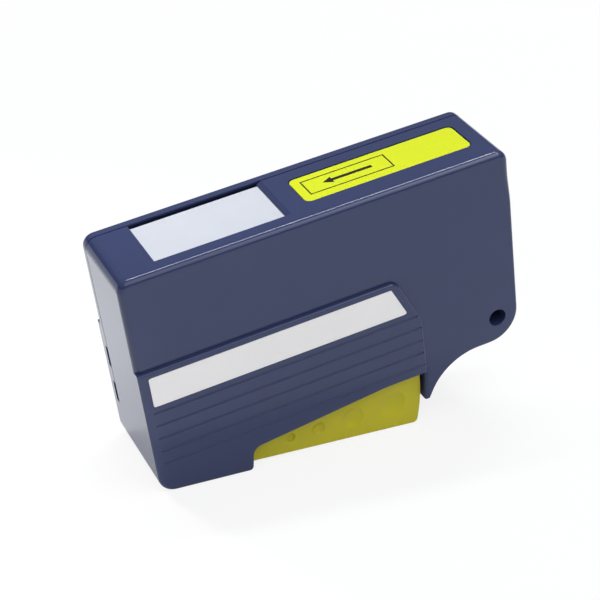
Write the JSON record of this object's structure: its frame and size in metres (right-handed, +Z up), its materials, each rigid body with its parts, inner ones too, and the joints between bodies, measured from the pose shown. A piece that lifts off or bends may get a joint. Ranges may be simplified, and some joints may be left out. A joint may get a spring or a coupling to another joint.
{
  "type": "fibre optic cleaning cassette",
  "caption": "Hand-held cassette that wipes fibre optic connectors on a cloth tape in a top window; squeezing the lever below winds fresh tape.",
  "frame": {"origin": "middle of the bounding box on the plane it stands on, under foot and lever", "axes": "+X towards the strap-hole end, +Y back from the labelled side to the rear cover, +Z up"},
  "size_m": [0.1236, 0.0328, 0.0871],
  "materials": {
    "housing": "moulded dark blue plastic, satin",
    "lever_plastic": "moulded yellow-green plastic",
    "steel": "plain steel",
    "gear_plastic": "natural moulded plastic",
    "reel_plastic": "black moulded plastic",
    "cloth": "fine white cleaning cloth",
    "pad_rubber": "soft rubber",
    "yellow_film": "printed yellow film",
    "pale_film": "pale grey film",
    "felt": "grey felt"
  },
  "bodies": {
    "case": {"main_case": "housing", "lever_pivot_pin": "steel", "left_guide_axle": "steel", "right_guide_axle": "steel", "backing_pad": "pad_rubber", "cleaning_tape": "cloth", "direction_label": "yellow_film", "front_label": "pale_film", "supply_friction_washer": "felt", "take_up_friction_washer": "felt"},
    "cover": {"rear_cover": "housing"},
    "lever_body": {"lever": "lever_plastic", "lever_return_spring": "steel"},
    "pinion_body": {"drive_pinion": "gear_plastic", "clutch_spring": "steel"},
    "take_up_body": {"take_up_reel": "reel_plastic", "take_up_roll": "cloth"},
    "supply_body": {"supply_reel": "reel_plastic", "supply_roll": "cloth"},
    "left_roller_body": {"left_guide_roller": "gear_plastic"},
    "right_roller_body": {"right_guide_roller": "gear_plastic"}
  },
  "joints": [
    {"name": "lever_squeeze", "type": "hinge", "parent": "case", "child": "lever_body", "pos_m": [-0.02892, 0, 0.0077], "axis": [0, -1, 0], "range_deg": [0, 12], "stiffness_Nm_per_rad": 0.48, "springref_deg": -12.03, "deforming": ["lever_return_spring"]},
    {"name": "pinion_turn", "type": "hinge", "parent": "case", "child": "pinion_body", "pos_m": [-0.02265, 0, 0.04518], "axis": [0, -1, 0], "range_deg": [-38.67, 0]},
    {"name": "supply_spin", "type": "hinge", "parent": "case", "child": "supply_body", "pos_m": [0.02804, 0, 0.05722], "axis": [0, -1, 0], "continuous": true},
    {"name": "take_up_spin", "type": "hinge", "parent": "case", "child": "take_up_body", "pos_m": [-0.02265, 0, 0.04518], "axis": [0, -1, 0], "continuous": true},
    {"name": "left_roller_spin", "type": "hinge", "parent": "case", "child": "left_roller_body", "pos_m": [-0.05348, 0, 0.06687], "axis": [0, -1, 0], "continuous": true},
    {"name": "right_roller_spin", "type": "hinge", "parent": "case", "child": "right_roller_body", "pos_m": [-0.00706, 0, 0.07422], "axis": [0, -1, 0], "continuous": true},
    {"name": "cover_lift", "type": "slide", "parent": "case", "child": "cover", "axis": [0, 1, 0], "range_m": [0, 0.045]}
  ],
  "couplings": [
    {"joint": "pinion_turn", "follows": "lever_squeeze", "ratio": -3.2222},
    {"joint": "take_up_spin", "follows": "supply_spin", "ratio": 1.9091},
    {"joint": "left_roller_spin", "follows": "supply_spin", "ratio": -8.4},
    {"joint": "right_roller_spin", "follows": "supply_spin", "ratio": -8.4}
  ]
}
